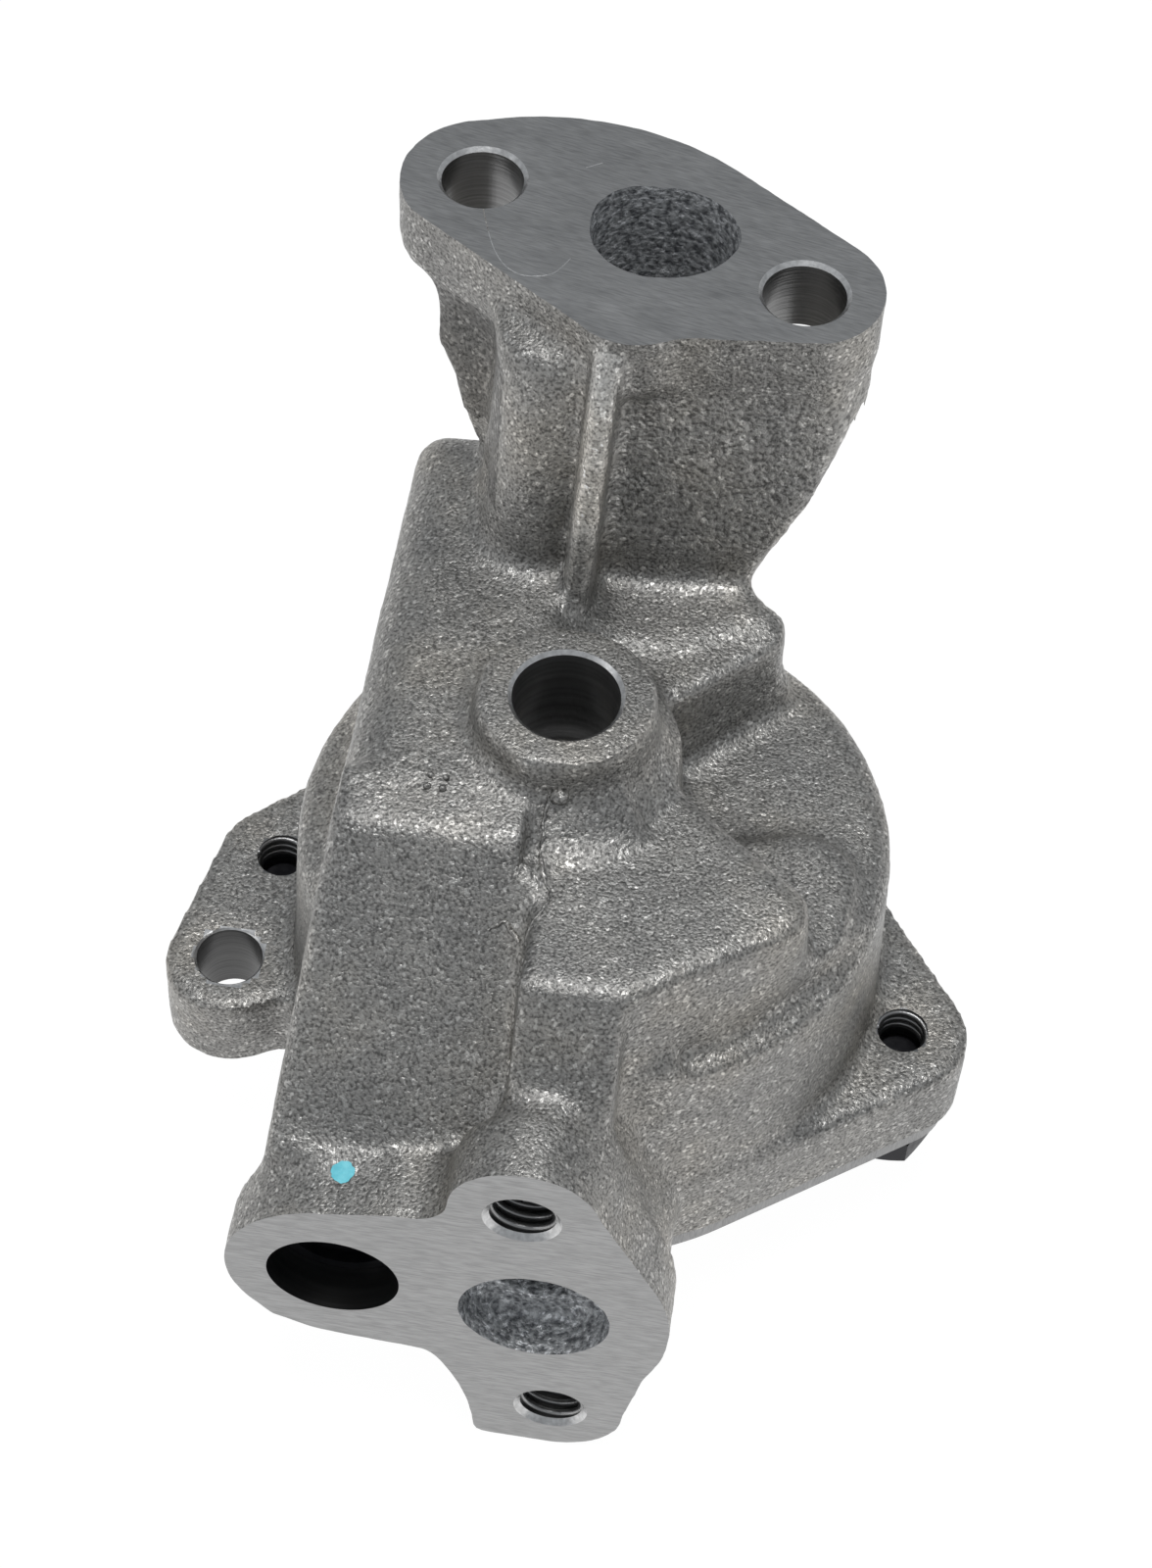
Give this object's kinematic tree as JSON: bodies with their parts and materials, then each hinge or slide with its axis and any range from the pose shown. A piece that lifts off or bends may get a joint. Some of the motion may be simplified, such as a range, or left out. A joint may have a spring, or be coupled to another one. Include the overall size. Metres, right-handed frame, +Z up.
{
  "type": "engine oil pump",
  "caption": "Gerotor oil pump with a cast iron housing, a raised mounting flange with a delivery port, a drive hub and a flat pickup face with inlet and relief bore.",
  "frame": {"origin": "centre of the drive bore at the hub face", "axes": "+Z up the drive axis out of the hub, -Y out of the pickup face, +X to the right seen from the pickup face"},
  "size_m": [0.1013, 0.1165, 0.1138],
  "materials": {
    "cast_body": "as cast, machined faces",
    "ground_plate": "machined",
    "steel": "ground",
    "spring_steel": "oiled wire",
    "dark_steel": "black oxide"
  },
  "bodies": {
    "housing": {"pump_housing": "cast_body", "cover_plate": "ground_plate", "relief_retainer": "dark_steel", "cover_bolt_right": "dark_steel", "cover_bolt_rear": "dark_steel", "cover_bolt_left": "dark_steel", "cover_bolt_front": "dark_steel", "lock_washer_right": "dark_steel", "lock_washer_rear": "dark_steel", "lock_washer_left": "dark_steel", "lock_washer_front": "dark_steel"},
    "drive": {"rotor_shaft": "steel", "inner_rotor": "steel", "rotor_pin": "steel"},
    "outer": {"outer_rotor": "steel"},
    "relief": {"relief_piston": "steel", "relief_spring": "spring_steel"}
  },
  "joints": [
    {"name": "shaft_spin", "type": "hinge", "parent": "housing", "child": "drive", "pos_m": [0, 0, 0], "axis": [0, 0, 1], "continuous": true},
    {"name": "outer_rotor_spin", "type": "hinge", "parent": "housing", "child": "outer", "pos_m": [0.0044, -0.0006, -0.044], "axis": [0, 0, 1], "continuous": true},
    {"name": "relief_slide", "type": "slide", "parent": "housing", "child": "relief", "axis": [0, -1, 0], "range_m": [0, 0.0045], "stiffness_N_per_m": 2500, "springref_m": -0.004, "deforming": ["relief_spring"]}
  ],
  "couplings": [
    {"joint": "outer_rotor_spin", "follows": "shaft_spin", "ratio": 0.8}
  ]
}
